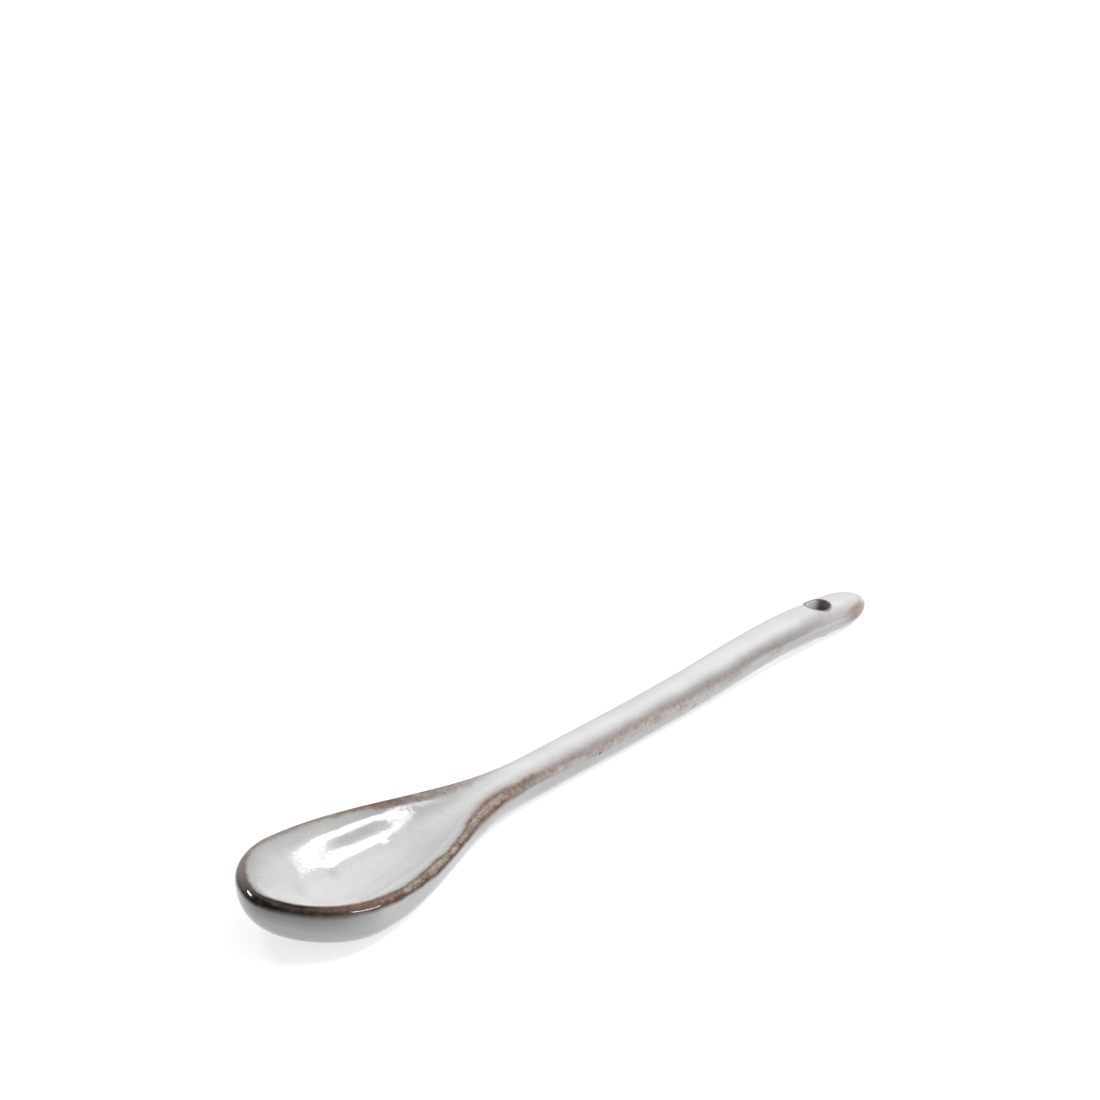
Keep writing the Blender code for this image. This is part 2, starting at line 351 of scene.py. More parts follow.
# Colours of the band at its inner and its outer border
NEAR_INNER_COLOUR = (
    (0, BURNT_BLACK), (7, BURNT_BLACK), (9, BURNT_BROWN), (11, DARK_BROWN), (15, BAND_BROWN),
    (22, BAND_BROWN), (26, NECK_BROWN), (41, NECK_BROWN), (44, ROSE_BROWN), (47, ROSE_BROWN),
    (50, BAND_BROWN), (56, BAND_BROWN), (62, ROSE_BROWN), (80, PALE_ROSE), (108, PALE_ROSE),
    (114, NECK_BROWN), (121, PALE_ROSE), (130, TAN), (138.5, TAN),
)
FAR_INNER_COLOUR = (
    (0, BURNT_BLACK), (6, BURNT_BROWN), (10, DARK_BROWN), (14, NECK_BROWN), (29, NECK_BROWN),
    (35, BAND_BROWN), (39, DARK_BROWN), (42, GREY_BROWN), (45, GREY_BROWN), (49, NECK_BROWN),
    (56, ROSE_BROWN), (118, ROSE_BROWN), (128, TAN), (138.5, TAN),
)
NEAR_OUTER_COLOUR = (
    (0, BURNT_BLACK), (8, BURNT_BLACK), (11, BURNT_BROWN), (16, RED_BROWN), (20, RED_BROWN),
    (26, DARK_BROWN), (37, DARK_BROWN), (43, BAND_BROWN), (49, BAND_BROWN), (56, NECK_BROWN),
    (62, ROSE_BROWN), (80, PALE_ROSE), (108, PALE_ROSE), (114, NECK_BROWN), (121, PALE_ROSE),
    (130, TAN), (138.5, TAN),
)
FAR_OUTER_COLOUR = (
    (0, BURNT_BLACK), (5, BURNT_BLACK), (10, RED_BROWN), (14, DARK_BROWN), (20, BAND_BROWN),
    (29, BAND_BROWN), (35, RED_BROWN), (46, DARK_BROWN), (56, ROSE_BROWN), (118, ROSE_BROWN),
    (128, TAN), (138.5, TAN),
)

# Wandering of the band's borders: size of the noise, its swing in millimetres and its shift
WANDER = ((0.0028, 1.3, 3.0), (0.0009, 0.6, 17.0), (0.00025, 0.5, 7.0))
OUTER_WANDER = 0.6

# Fades of the fringes, over the distance from a border and over the share of the band's width
INSIDE_OVERLAP_MM = -0.4
INSIDE_SHARES = (0.3, 0.8)
OUTSIDE_FADE_MM = (2.8, -0.2)
OUTSIDE_SHARES = (0.5, 0.1)

# Fades of the band over the share of its width: low and high ends, and how soft each of them is
BAND_BLEND = (0.1, 0.95)
BAND_EXTENT = (0.04, 0.96, 0.18, 0.2)
BAND_MIDDLE = (0.26, 0.74, 0.14, 0.14)

# Noise levels between which patches, flecks, mottling and gaps set in, and how strong they are
PATCH_LEVELS = (0.38, 0.6)
RIM_STRENGTH = 0.85
FLECK_LEVELS = (0.46, 0.66, 0.0, 0.42)
FLECK_FADE = (16.0 / OUTLINE_RUN, 10.0 / OUTLINE_RUN)
MOTTLE_LEVELS = (0.25, 0.75, 0.58, 1.38)
GAP_LEVELS = (0.42, 0.56)
GAP_EXTENT = (60.0 / OUTLINE_RUN, 124.0 / OUTLINE_RUN, 0.03, 0.03)
GAP_STRENGTH = 0.55


def fade(share):
    """Ease from 0 to 1 with level ends."""
    share = np.clip(share, 0.0, 1.0)
    return share * share * (3.0 - 2.0 * share)


def fade_between(value, start, finish):
    """Ease from 0 at the start to 1 at the finish."""
    return fade((value - start) / (finish - start))


def smooth_curve(x, stations, heights):
    """Height at x on a smooth curve through the heights at the stations."""
    stations = np.array(stations)
    heights = np.array(heights)
    slopes = np.gradient(heights, stations)
    left = np.clip(np.searchsorted(stations, x) - 1, 0, len(stations) - 2)
    span = stations[left + 1] - stations[left]
    t = (x - stations[left]) / span
    start = (1 + 2 * t) * (1 - t) ** 2 * heights[left] + t * (1 - t) ** 2 * span * slopes[left]
    finish = t * t * (3 - 2 * t) * heights[left + 1] + t * t * (t - 1) * span * slopes[left + 1]
    return start + finish


def handle_half_width(x):
    share = (x - TIP_TO_THROAT) / (LENGTH - TIP_TO_THROAT)
    return 0.5 * (THROAT_WIDTH + (HANDLE_END_WIDTH - THROAT_WIDTH) * share)


def half_outline():
    """Points of the plan outline on one side, from the tip of the bowl to the end of the handle."""
    turn = np.linspace(0.0, QUARTER, FRONT_STEPS + 1)
    power = 2.0 / BOWL_ROUNDNESS
    front_x = TIP_TO_WIDEST * (1.0 - np.clip(np.cos(turn), 0.0, 1.0) ** power)
    front_y = 0.5 * BOWL_WIDTH * np.sin(turn) ** power

    share = np.linspace(0.0, 1.0, NECK_STEPS + 1)[1:]
    neck_x = TIP_TO_WIDEST + (TIP_TO_THROAT - TIP_TO_WIDEST) * share
    narrowing = 0.5 + 0.5 * np.cos(math.pi * share ** NECK_TAPER)
    neck_y = 0.5 * (THROAT_WIDTH + (BOWL_WIDTH - THROAT_WIDTH) * narrowing)

    stops = (TIP_TO_THROAT, HOLE_X - MOUTH_RADIUS, HOLE_X + MOUTH_RADIUS, END_START)
    counts = (HANDLE_STEPS, HOLE_STEPS, HOLE_STEPS // 2)
    spans = zip(stops, stops[1:], counts)
    handle_x = np.concatenate([np.linspace(start, stop, count + 1)[1:] for start, stop, count in spans])
    turn = np.linspace(0.0, QUARTER, END_STEPS + 1)[1:]
    end_x = END_START + END_ROUNDING * np.sin(turn)
    end_y = handle_half_width(end_x) * np.cos(turn)
    end_y[-1] = 0.0

    x = np.concatenate([front_x, neck_x, handle_x, end_x])
    y = np.concatenate([front_y, neck_y, handle_half_width(handle_x), end_y])
    return x, y


def edge_height(x):
    handle = LENGTH - TIP_TO_THROAT
    along_handle = [TIP_TO_THROAT + share * handle for share in HANDLE_SHARES]
    stations = [0.0, TIP_TO_WIDEST, TIP_TO_THROAT, *along_handle, LENGTH]
    return smooth_curve(x, stations, EDGE_HEIGHTS)


class Sections:
    """Half sections of the spoon at points of its outline.

    A turn of 0 is the edge line and a quarter turn is the middle line.
    """

    def __init__(self, x, y):
        self.x = x
        self.y = y
        self.foot_x = np.clip(x, TIP_TO_WIDEST, END_START)
        self.reach = np.hypot(self.foot_x - x, y)
        self.edge = edge_height(x)
        self.foot_edge = edge_height(self.foot_x)
        self.handle_share = fade_between(self.foot_x, *HOLLOW_FADE)

        along = np.clip((self.foot_x - TIP_TO_BELLY_END) / (END_START - TIP_TO_BELLY_END), 0.0, 1.0)
        handle_belly = BELLY_AT_THROAT + (BELLY_AT_END - BELLY_AT_THROAT) * along
        run_out = np.clip((self.foot_x - TIP_TO_WIDEST) / (TIP_TO_BELLY_END - TIP_TO_WIDEST), 0.0, 1.0)
        bowl_share = 0.5 + 0.5 * np.cos(math.pi * run_out)
        bowl_belly = EDGE_HEIGHTS[1] + FOOT_FLATTENING
        self.belly = handle_belly + (bowl_belly - handle_belly) * bowl_share
        self.section = BOWL_SECTION + (HANDLE_SECTION - BOWL_SECTION) * fade(run_out)

        along = np.clip((self.foot_x - TIP_TO_THROAT) / (END_START - TIP_TO_THROAT), 0.0, 1.0)
        self.crown = CROWN_AT_THROAT + (CROWN_AT_END - CROWN_AT_THROAT) * along
        deepest = EDGE_HEIGHTS[1] + LIP_RISE - FLOOR_THICKNESS
        half_width = np.where(x < TIP_TO_WIDEST, 0.5 * BOWL_WIDTH, y)
        inside = (half_width - LIP_HALF_WIDTH) / (0.5 * BOWL_WIDTH - LIP_HALF_WIDTH)
        self.hollow = deepest * np.clip(inside, 0.0, 1.0)

    def place(self, share, lift):
        x = self.x + (self.foot_x - self.x) * share
        y = self.y * (1.0 - share)
        z = self.edge + (self.foot_edge - self.edge) * share + lift
        return np.stack([x, y, np.maximum(z, 0.0)], axis=-1)

    def underside(self, turn):
        share = 1.0 - np.clip(np.cos(turn), 0.0, 1.0) ** (2.0 / self.section)
        return self.place(share, -self.belly * np.sin(turn) ** (2.0 / self.section))

    def upper(self, turn):
        share = 1.0 - np.clip(np.cos(turn), 0.0, 1.0)
        inward = self.reach * share
        lip = LIP_RISE * np.sqrt(1.0 - np.clip(1.0 - inward / LIP_HALF_WIDTH, 0.0, 1.0) ** 2)
        hollow_reach = np.maximum(self.reach - LIP_HALF_WIDTH, LEAST_LENGTH)
        past_lip = np.clip((inward - LIP_HALF_WIDTH) / hollow_reach, 0.0, 1.0)
        bowl = lip - self.hollow * (1.0 - (1.0 - past_lip ** HOLLOW_LIP_CURVE) ** HOLLOW_FLOOR_CURVE)
        handle = self.crown * (1.0 - (1.0 - share) ** CROWN_SECTION) ** (1.0 / CROWN_SECTION)
        return self.place(share, bowl + (handle - bowl) * self.handle_share)


def handle_surface(x, y, above):
    """Height of the handle's top or underside over points of its plan."""
    half_width = handle_half_width(x)
    sections = Sections(x, half_width)
    share = np.clip(np.abs(y) / half_width, 0.0, 1.0)
    if above:
        return sections.upper(np.arccos(share))[..., 2]
    return sections.underside(np.arccos(share ** (0.5 * sections.section)))[..., 2]


def round_the_hole(rows, above):
    """Draw in the square of surface round the hole, so that its border is the circle of the mouth."""
    half_width = handle_half_width(HOLE_X)
    x = rows[..., 0] - HOLE_X
    y = rows[..., 1]
    size = np.maximum(np.abs(x), np.abs(y)) / MOUTH_RADIUS
    limit = MOUTH_BLEND_SHARE * half_width / MOUTH_RADIUS
    to_circle = size * MOUTH_RADIUS / np.maximum(np.hypot(x, y), LEAST_LENGTH)
    scale = to_circle + (1.0 - to_circle) * fade_between(size, 1.0, limit)
    near = size < limit
    rows[near, 0] = HOLE_X + x[near] * scale[near]
    rows[near, 1] = y[near] * scale[near]
    rows[near, 2] = handle_surface(rows[near, 0], rows[near, 1], above)


def turns_through(stops, counts):
    spans = zip(stops, stops[1:], counts)
    return np.concatenate([[stops[0]]] + [np.linspace(a, b, count + 1)[1:] for a, b, count in spans])


def half_coat():
    """Rows of points over one half of the spoon, from the keel over the edge line to the middle line on top.

    With them come each point's distances from the edge line and along the outline from the tip, in
    millimetres, the numbers of the rows that border the brown band and the hole's mouths, and which
    columns lie over the hole.
    """
    x, y = half_outline()
    sections = Sections(x, y)
    mouth_share = MOUTH_RADIUS / handle_half_width(HOLE_X)
    under_mouth = math.acos(mouth_share ** (0.5 * HANDLE_SECTION))
    upper_mouth = math.acos(mouth_share)
    under_turns = turns_through((0.0, BAND_TURN_UNDER, under_mouth, QUARTER), UNDER_STEPS)
    upper_turns = turns_through((0.0, BAND_TURN_UPPER, upper_mouth, QUARTER), UPPER_STEPS)
    under = np.stack([sections.underside(np.full(len(x), turn)) for turn in under_turns])
    upper = np.stack([sections.upper(np.full(len(x), turn)) for turn in upper_turns])
    across = []
    for rows, scale in ((under, -MM_PER_METRE), (upper, MM_PER_METRE)):
        steps = np.linalg.norm(np.diff(rows, axis=0), axis=-1)
        across.append(scale * np.concatenate([np.zeros((1, len(x))), np.cumsum(steps, axis=0)]))
    round_the_hole(under, False)
    round_the_hole(upper, True)
    rows = np.concatenate([under[:0:-1], upper])
    across = np.concatenate([across[0][:0:-1], across[1]])
    along = MM_PER_METRE * np.concatenate([[0.0], np.cumsum(np.hypot(np.diff(x), np.diff(y)))])
    edge_row = len(under_turns) - 1
    borders = {
        "band_low": edge_row - UNDER_STEPS[0],
        "band_high": edge_row + UPPER_STEPS[0],
        "mouth_low": edge_row - UNDER_STEPS[0] - UNDER_STEPS[1],
        "mouth_high": edge_row + UPPER_STEPS[0] + UPPER_STEPS[1],
    }
    over_hole = np.abs(x - HOLE_X) < MOUTH_RADIUS + WELD_DISTANCE
    return rows, across, np.broadcast_to(along, across.shape), borders, over_hole


def mouth_rims(coat):
    """The open edges round the hole, above and below."""
    centre = HOLE_X - 0.5 * LENGTH
    level = float(edge_height(np.array([HOLE_X]))[0])
    rims = {True: [], False: []}
    for edge in coat.edges:
        middle = 0.5 * (edge.verts[0].co + edge.verts[1].co)
        if edge.is_boundary and math.hypot(middle.x - centre, middle.y) < MOUTH_RADIUS + MOUTH_MARGIN:
            rims[middle.z > level].append(edge)
    return rims


def mouth(coat, rim, above, marks, zone):
    """Round a mouth of the hole over, more at its ends than at its sides, and glaze a little of the wall."""
    centre = HOLE_X - 0.5 * LENGTH
    across, along, mouth_brown_and_shade = marks
    sign = -1.0 if above else 1.0
    wall = HOLE_RADIUS - GLAZE_IN_HOLE
    for step in range(1, MOUTH_STEPS + 1):
        turn = QUARTER * min((step - 1) / (MOUTH_STEPS - 2), 1.0)
        grown = bmesh.ops.extrude_edge_only(coat, edges=rim)["geom"]
        rim = [item for item in grown if isinstance(item, bmesh.types.BMEdge) and item.is_boundary]
        for point in (item for item in grown if isinstance(item, bmesh.types.BMVert)):
            angle = math.atan2(point.co.y, point.co.x - centre)
            endwise = math.cos(angle) ** 2
            rounding = MOUTH_ROUNDING_SIDES + (MOUTH_ROUNDING_ENDS - MOUTH_ROUNDING_SIDES) * endwise
            radius = wall + rounding * (1.0 - math.sin(turn))
            depth = MOUTH_DROPS[above] * (1.0 - math.cos(turn))
            if step == MOUTH_STEPS:
                depth = MOUTH_DEPTHS[above]
            x = HOLE_X + radius * math.cos(angle)
            y = radius * math.sin(angle)
            surface = float(handle_surface(np.array([x]), np.array([y]), above)[0])
            point.co = (x - 0.5 * LENGTH, y, surface + sign * depth)
            point[across] = MOUTH_ACROSS_MM * -sign
            point[along] = MM_PER_METRE * x
            # Painted shade: brown on the side of the upper wall that lies in the hole's shade
            hole_shade = HOLE_SHADE_STRENGTH * float(fade_between(math.cos(angle - HOLE_SHADE_ANGLE), *HOLE_SHADE_COSINES))
            line = MOUTH_LINE_STRENGTH * float(fade_between(turn, *MOUTH_LINE_TURNS))
            point[mouth_brown_and_shade] = max(HOLE_SHADE_LEAST + hole_shade, line) if above else 0.0
        for face in (item for item in grown if isinstance(item, bmesh.types.BMFace)):
            face[zone] = 2 if above else 0


def whole_coat():
    """The outer surface of the whole glaze coat as one mesh, open only at the ends of the hole."""
    rows, across_mm, along_mm, borders, over_hole = half_coat()
    coat = bmesh.new()
    across = coat.verts.layers.float.new("across")
    along = coat.verts.layers.float.new("along")
    mouth_brown_and_shade = coat.verts.layers.float.new("mouth_brown_and_shade")
    zone = coat.faces.layers.int.new("zone")
    for side in (1.0, -1.0):
        grid = []
        for row, row_across, row_along in zip(rows, across_mm, along_mm):
            line = []
            for place, over, run in zip(row, row_across, row_along):
                y = 0.0 if place[1] < WELD_DISTANCE else side * place[1]
                point = coat.verts.new((place[0] - 0.5 * LENGTH, y, place[2]))
                point[across] = over
                point[along] = run
                line.append(point)
            grid.append(line)
        for number, (lower, higher) in enumerate(zip(grid, grid[1:])):
            in_mouth = number < borders["mouth_low"] or number >= borders["mouth_high"]
            for step in range(len(lower) - 1):
                if in_mouth and over_hole[step] and over_hole[step + 1]:
                    continue
                corners = [lower[step], lower[step + 1], higher[step + 1], higher[step]]
                face = coat.faces.new(corners if side < 0 else corners[::-1])
                face[zone] = int(number >= borders["band_low"]) + int(number >= borders["band_high"])
    bmesh.ops.remove_doubles(coat, verts=coat.verts, dist=WELD_DISTANCE)
    marks = (across, along, mouth_brown_and_shade)
    for above, rim in mouth_rims(coat).items():
        mouth(coat, rim, above, marks, zone)
    bmesh.ops.recalc_face_normals(coat, faces=coat.faces)
    return coat, marks, zone


def crease(place):
    """Soft step along the far wall of the hollow, where the wall stands a little steeper."""
    run = CREASE_STOP - CREASE_START
    along = (place.xy - CREASE_START).dot(run) / run.length_squared
    above = (place.xy - CREASE_START).cross(run) / -run.length
    start = float(fade_between(along, -CREASE_END_FADE, CREASE_END_FADE))
    stop = float(fade_between(along, 1.0 + CREASE_END_FADE, 1.0 - CREASE_END_FADE))
    step = math.tanh(above / CREASE_WIDTH) * math.exp(-((above / CREASE_REACH) ** 2))
    return CREASE_HEIGHT * start * stop * step


def unevenness(place, normal):
    """How far the hand-made surface stands off the drawn one."""
    waves = noise.noise(place / WAVE_LENGTH) * WAVE_HEIGHT
    ripples = noise.noise(place / RIPPLE_LENGTH) * RIPPLE_HEIGHT
    off_table = min(place.z / EVEN_HEIGHT, 1.0)
    dent = 0.0
    if normal.z > UPWARD_LEAST:
        for x, y, *cloud in DIMPLES:
            distance = math.hypot(place.x - x, place.y - y) / DIMPLE_RADIUS
            dent += DIMPLE_DEPTH * math.exp(-distance * distance)
        if place.x < 0.0 < place.y:
            dent -= crease(place)
    return (waves + ripples) * off_table - dent


def glaze_piece(name, faces, places, normals, marks, material):
    """A closed shell of glaze behind some faces of the coat, shaded as a part of the whole surface."""
    used = sorted({number for face in faces for number in face})
    new_number = {number: place for place, number in enumerate(used)}
    count = len(used)
    outer = places[used]
    inner = outer - GLAZE_THICKNESS * normals[used]
    shell = [[new_number[number] for number in face] for face in faces]
    edges = {}
    for face in shell:
        for start, stop in zip(face, face[1:] + face[:1]):
            edges[start, stop] = True
    walls = [
        [stop, start, start + count, stop + count]
        for start, stop in edges
        if (stop, start) not in edges
    ]
    backs = [[number + count for number in reversed(face)] for face in shell]
    mesh = bpy.data.meshes.new(name)
    mesh.from_pydata(np.concatenate([outer, inner]).tolist(), [], shell + backs + walls)
    mesh.update()
    for mark, values in marks.items():
        attribute = mesh.attributes.new(mark, "FLOAT", "POINT")
        attribute.data.foreach_set("value", np.tile(values[used], 2).astype(np.float32))
    mesh.shade_smooth()
    corner_normals = []
    for number, polygon in enumerate(mesh.polygons):
        for corner in polygon.vertices:
            outside = number < len(shell)
            corner_normals.append(normals[used[corner]] if outside else polygon.normal[:])
    mesh.normals_split_custom_set([tuple(normal) for normal in corner_normals])
    mesh.materials.append(material)
    piece = bpy.data.objects.new(name, mesh)
    bpy.context.scene.collection.objects.link(piece)
    return piece


def glaze_pieces(materials):
    """The three glaze zones of the coat, with the hand-made unevenness of its surface."""
    coat, layers, zone = whole_coat()
    coat.normal_update()
    offsets = [unevenness(point.co, point.normal) for point in coat.verts]
    for point, offset in zip(coat.verts, offsets):
        point.co += point.normal * offset
        point.co.z = max(point.co.z, 0.0)
    coat.normal_update()
    coat.verts.index_update()
    places = np.array([point.co[:] for point in coat.verts])
    normals = np.array([point.normal[:] for point in coat.verts])
    marks = {}
    for mark, layer in zip(("across", "along", "mouth_brown_and_shade"), layers):
        marks[mark] = np.array([point[layer] for point in coat.verts])
    zones = [[], [], []]
    for face in coat.faces:
        zones[face[zone]].append([point.index for point in face.verts])
    coat.free()
    pieces = []
    for (name, material), faces in zip(materials, zones):
        pieces.append(glaze_piece(name, faces, places, normals, marks, material))
    return pieces


class Finish:
    """Short calls for the nodes of one material."""

    def __init__(self, name):
        self.material = bpy.data.materials.new(name)
        self.material.use_nodes = True
        self.tree = self.material.node_tree
        self.shader = self.tree.nodes["Principled BSDF"]
        self.place = self.new("ShaderNodeTexCoord").outputs["Object"]

    def new(self, kind, **settings):
        node = self.tree.nodes.new(kind)
        for setting, value in settings.items():
            setattr(node, setting, value)
        return node

    def feed(self, socket, value):
        if isinstance(value, bpy.types.NodeSocket):
            self.tree.links.new(value, socket)
        else:
            socket.default_value = value

    def mark(self, name):
        return self.new("ShaderNodeAttribute", attribute_name=name).outputs["Fac"]

    def math(self, operation, first, second=0.0):
        node = self.new("ShaderNodeMath", operation=operation)
        self.feed(node.inputs[0], first)
        self.feed(node.inputs[1], second)
        return node.outputs[0]

    def product(self, first, *others):
        for other in others:
            first = self.math("MULTIPLY", first, other)
        return first

    def ease(self, value, start, finish, low=0.0, high=1.0):
        node = self.new("ShaderNodeMapRange", interpolation_type="SMOOTHSTEP")
        for number, item in enumerate((value, start, finish, low, high)):
            self.feed(node.inputs[number], item)
        return node.outputs[0]

    def between(self, value, low, high, soft_low, soft_high):
        rise = self.ease(value, low - soft_low, low + soft_low)
        fall = self.ease(value, high + soft_high, high - soft_high)
        return self.product(rise, fall)

    def grain(self, size, detail=2.0, shift=0.0):
        """Soft noise whose spots are about one size across."""
        node = self.new("ShaderNodeTexNoise", noise_dimensions="4D")
        self.feed(node.inputs["Vector"], self.place)
        node.inputs["W"].default_value = shift
        node.inputs["Scale"].default_value = 0.5 / size
        node.inputs["Detail"].default_value = detail
        return node.outputs["Fac"]

    def ramp(self, value, stops):
        node = self.new("ShaderNodeValToRGB")
        bar = node.color_ramp
        while len(bar.elements) < len(stops):
            bar.elements.new(1.0)
        for element, (position, colour) in zip(bar.elements, stops):
            element.position = position
            element.color = colour
        self.feed(node.inputs[0], value)
        return node.outputs[0]

    def mix(self, share, first, second):
        node = self.new("ShaderNodeMix", data_type="RGBA")
        self.feed(node.inputs[0], share)
        self.feed(node.inputs[6], first)
        self.feed(node.inputs[7], second)
        return node.outputs[2]

    def scale(self, colour, amount):
        node = self.new("ShaderNodeVectorMath", operation="SCALE")
        self.feed(node.inputs[0], colour)
        self.feed(node.inputs["Scale"], amount)
        return node.outputs[0]

    def distance(self, place, point):
        apart = self.new("ShaderNodeVectorMath", operation="DISTANCE")
        self.feed(apart.inputs[0], place)
        apart.inputs[1].default_value = point
        return apart.outputs["Value"]

    def relief(self, strength, height, grain):
        """Fine relief in the surface."""
        bump = self.new("ShaderNodeBump")
        bump.inputs["Strength"].default_value = strength
        bump.inputs["Distance"].default_value = height
        self.feed(bump.inputs["Height"], grain)
        self.feed(self.shader.inputs["Normal"], bump.outputs[0])


class Glaze(Finish):
    """White reactive glaze, brown where it thins over the edge line and the hole's mouth, with some painted
    shade.
    """

    def __init__(self, name, refraction, grain_height, roughness):
        super().__init__(name)
        axes = self.new("ShaderNodeSeparateXYZ")
        self.feed(axes.inputs[0], self.place)
        self.x, self.y = axes.outputs["X"], axes.outputs["Y"]
        self.far_side = self.math("GREATER_THAN", self.y, 0.0)
        self.run = self.math("DIVIDE", self.mark("along"), OUTLINE_RUN)
        self.across = self.mark("across")
        colour = self.specks(self.pinholes(self.mouth_ring(self.band(self.ground()))))
        self.feed(self.shader.inputs["Base Color"], colour)
        shine = self.ease(self.grain(SHINE_SIZE, shift=5.0), *NOISE_MIDDLE, *roughness)
        self.feed(self.shader.inputs["Roughness"], shine)
        self.shader.inputs["IOR"].default_value = refraction
        self.relief(1.0, grain_height, self.grain(GRAIN_SIZE, shift=2.0))

    def hues(self, near, far):
        """A colour along the outline, on its near side and its far side."""
        sides = [
            self.ramp(self.run, [(place / OUTLINE_RUN, colour) for place, colour in side])
            for side in (near, far)
        ]
        return self.mix(self.far_side, *sides)

    def both_sides(self, near, far):
        """A level along the outline, on its near side and its far side."""
        greys = [
            [(place, (level, level, level, 1.0)) for place, level in side]
            for side in (near, far)
        ]
        return self.hues(*greys)

    def border(self, near, far):
        """Distance of a border of the band from the edge line."""
        shares = [
            [(place, (limit + LIMIT_SHIFT) / LIMIT_RANGE) for place, limit in side]
            for side in (near, far)
        ]
        limits = self.product(self.both_sides(*shares), LIMIT_RANGE)
        return self.math("SUBTRACT", limits, LIMIT_SHIFT)

    def swing(self, size, amount, shift):
        """Noise about zero."""
        level = self.math("SUBTRACT", self.grain(size, shift=shift), 0.5)
        return self.product(level, amount)

    def flat_distance(self, x, y):
        """Distance in plan from a point."""
        flat = self.new("ShaderNodeCombineXYZ")
        self.feed(flat.inputs["X"], self.x)
        self.feed(flat.inputs["Y"], self.y)
        return self.distance(flat.outputs[0], (x, y, 0.0))

    def ground(self):
        """White with faint clouds, painted shade in the bowl's hollow, and grey clouds beside the hole."""
        clouds = self.ease(self.grain(CLOUD_SIZE, detail=3.0), *NOISE_MIDDLE)
        colour = self.mix(clouds, WHITE_DARKER, WHITE_LIGHTER)
        # Painted shade: the white turns greyer inside the bowl's hollow
        in_bowl = self.product(self.ease(self.x, *BOWL_SHADE_X), self.ease(self.across, *BOWL_SHADE_ACROSS_MM))
        colour = self.mix(self.product(in_bowl, BOWL_SHADE_STRENGTH), colour, CLOUD_AND_SHADE_GREY)
        # Painted shade in the dimples and along the hollow's far wall, and grey clouds beside the hole
        for x, y, radius, strength in DIMPLES + CLOUDS_AND_SHADE:
            cloud = self.ease(self.flat_distance(x, y), radius, CLOUD_CORE * radius, 0.0, strength)
            colour = self.mix(cloud, colour, CLOUD_AND_SHADE_GREY)
        return colour

    def band(self, ground):
        """The brown band over the ground, with its grey fringes, which are partly painted shade."""
        wander = self.swing(*WANDER[0])
        for layer in WANDER[1:]:
            wander = self.math("ADD", wander, self.swing(*layer))
        across = self.math("ADD", self.across, wander)
        inner = self.border(NEAR_INNER, FAR_INNER)
        outer = self.border(NEAR_OUTER, FAR_OUTER)
        outer = self.math("ADD", outer, self.product(wander, OUTER_WANDER))
        width = self.math("SUBTRACT", inner, outer)
        share = self.math("DIVIDE", self.math("SUBTRACT", across, outer), width)
        inside = self.math("SUBTRACT", across, inner)
        outside = self.math("SUBTRACT", outer, across)
        fringe_and_shade_hue = self.hues(NEAR_FRINGE_COLOUR, FAR_FRINGE_COLOUR)
        # Partly painted shade: on the handle's shoulder, along the hollow's far wall and on the outer wall
        # below the lip
        colour = self.mix(self.fringes(inside, outside, share), ground, fringe_and_shade_hue)
        return self.mix(self.cover(share), colour, self.brown(share))

    def fringes(self, inside, outside, share):
        """Strength of the fringes along both borders of the band, which are partly painted shade."""
        reach = self.product(self.both_sides(NEAR_FRINGE_REACH, FAR_FRINGE_REACH), LIMIT_RANGE)
        fringe_and_shade_inside = self.product(
            self.ease(inside, reach, INSIDE_OVERLAP_MM),
            self.ease(share, *INSIDE_SHARES),
            self.both_sides(NEAR_FRINGE_AND_SHADE_INSIDE, FAR_FRINGE_AND_SHADE_INSIDE),
        )
        fringe_and_shade_outside = self.product(
            self.ease(outside, *OUTSIDE_FADE_MM),
            self.ease(share, *OUTSIDE_SHARES),
            self.both_sides(NEAR_FRINGE_AND_SHADE_OUTSIDE, FAR_FRINGE_AND_SHADE_OUTSIDE),
        )
        return self.math("ADD", fringe_and_shade_inside, fringe_and_shade_outside)

    def brown(self, share):
        """Colour of the band, with grey green in its middle, flecks at the tip and a fine mottling."""
        outer_hue = self.hues(NEAR_OUTER_COLOUR, FAR_OUTER_COLOUR)
        inner_hue = self.hues(NEAR_INNER_COLOUR, FAR_INNER_COLOUR)
        brown = self.mix(self.ease(share, *BAND_BLEND), outer_hue, inner_hue)
        green = self.both_sides(NEAR_GREEN, FAR_GREEN)
        patches = self.ease(self.grain(PATCH_SIZE, detail=5.0, shift=11.0), *PATCH_LEVELS)
        middle = self.between(share, *BAND_MIDDLE)
        brown = self.mix(self.product(green, patches, middle), brown, GREEN_GREY)
        rims = self.product(self.math("SUBTRACT", 1.0, middle), self.product(green, RIM_STRENGTH))
        brown = self.mix(rims, brown, RIM_BROWN)
        at_tip = self.ease(self.run, *FLECK_FADE)
        flecks = self.ease(self.grain(FLECK_SIZE, detail=4.0, shift=23.0), *FLECK_LEVELS)
        brown = self.mix(self.product(at_tip, flecks), brown, FLECK_BROWN)
        mottle = self.ease(self.grain(MOTTLE_SIZE, detail=3.0, shift=13.0), *MOTTLE_LEVELS)
        return self.scale(brown, mottle)

    def cover(self, share):
        """How far the band covers the white, with gaps in it along the handle."""
        strength = self.both_sides(NEAR_STRENGTH, FAR_STRENGTH)
        mask = self.product(self.between(share, *BAND_EXTENT), strength)
        broken = self.ease(self.grain(GAP_SIZE, detail=4.0, shift=19.0), *GAP_LEVELS)
        on_handle = self.between(self.run, *GAP_EXTENT)
        gaps = self.product(self.math("SUBTRACT", 1.0, broken), on_handle, GAP_STRENGTH)
        return self.product(mask, self.math("SUBTRACT", 1.0, gaps))

